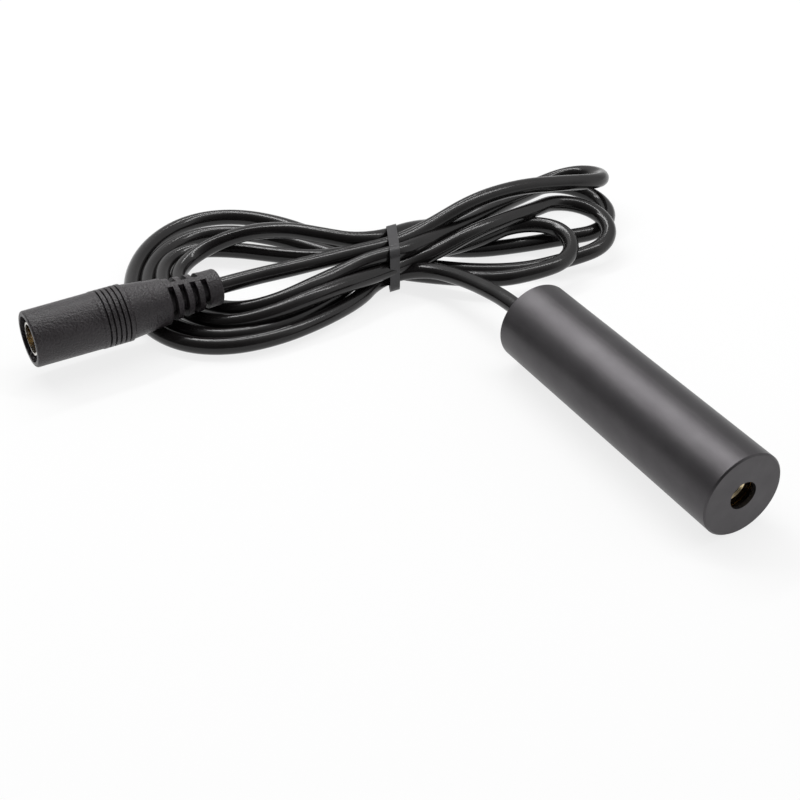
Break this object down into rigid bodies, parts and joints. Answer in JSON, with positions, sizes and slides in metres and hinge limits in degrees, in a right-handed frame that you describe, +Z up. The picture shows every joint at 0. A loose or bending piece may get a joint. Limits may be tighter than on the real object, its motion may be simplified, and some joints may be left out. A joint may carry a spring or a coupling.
{
  "type": "laser diode module",
  "caption": "Round dark-grey laser diode module with a lens behind its front aperture, on a black cord tied in a hank and ended by an in-line DC socket.",
  "frame": {"origin": "on the floor under the middle of the barrel's length", "axes": "+X along the barrel, the way the beam leaves; +Z up; +Y to the left of the beam"},
  "size_m": [0.1402, 0.1345, 0.016],
  "materials": {
    "anodised_aluminium": "satin dark grey anodise",
    "brass": "turned",
    "lens_glass": "polished",
    "nickel": "bright plated",
    "spring_steel": "drawn wire",
    "tinned_copper": "tinned",
    "circuit_board": "solder resist",
    "chip_plastic": "moulded",
    "ceramic": "fired",
    "trimmer_plastic": "moulded",
    "sleeve_film": "film",
    "red_insulation": "extruded",
    "black_insulation": "extruded",
    "cord_pvc": "gloss",
    "jack_plastic": "fine moulded texture",
    "insert_plastic": "moulded",
    "tie_plastic": "satin",
    "grommet_rubber": "matt"
  },
  "bodies": {
    "root": {"barrel_housing": "anodised_aluminium", "rear_cap": "anodised_aluminium", "cable_grommet": "grommet_rubber", "cable_ferrule": "tinned_copper", "lens_cell": "brass", "collimating_lens": "lens_glass", "lens_retainer": "brass", "lens_spring": "spring_steel", "diode_holder": "brass", "laser_diode": "nickel", "diode_leads": "tinned_copper", "diode_ring": "brass", "insulating_sleeve": "sleeve_film", "driver_board": "circuit_board", "driver_chip": "chip_plastic", "filter_capacitors": "ceramic", "sense_resistors": "chip_plastic", "trim_potentiometer": "trimmer_plastic", "reverse_diode": "chip_plastic", "supply_wire_red": "red_insulation", "supply_wire_black": "black_insulation", "jack_body": "jack_plastic", "jack_insert": "insert_plastic", "jack_contact_sleeve": "nickel", "jack_center_pin": "nickel", "jack_wire_red": "red_insulation", "jack_wire_black": "black_insulation", "cord_exit": "cord_pvc", "cord_hank": "cord_pvc", "cord_tail": "cord_pvc", "cable_tie": "tie_plastic"}
  },
  "joints": []
}
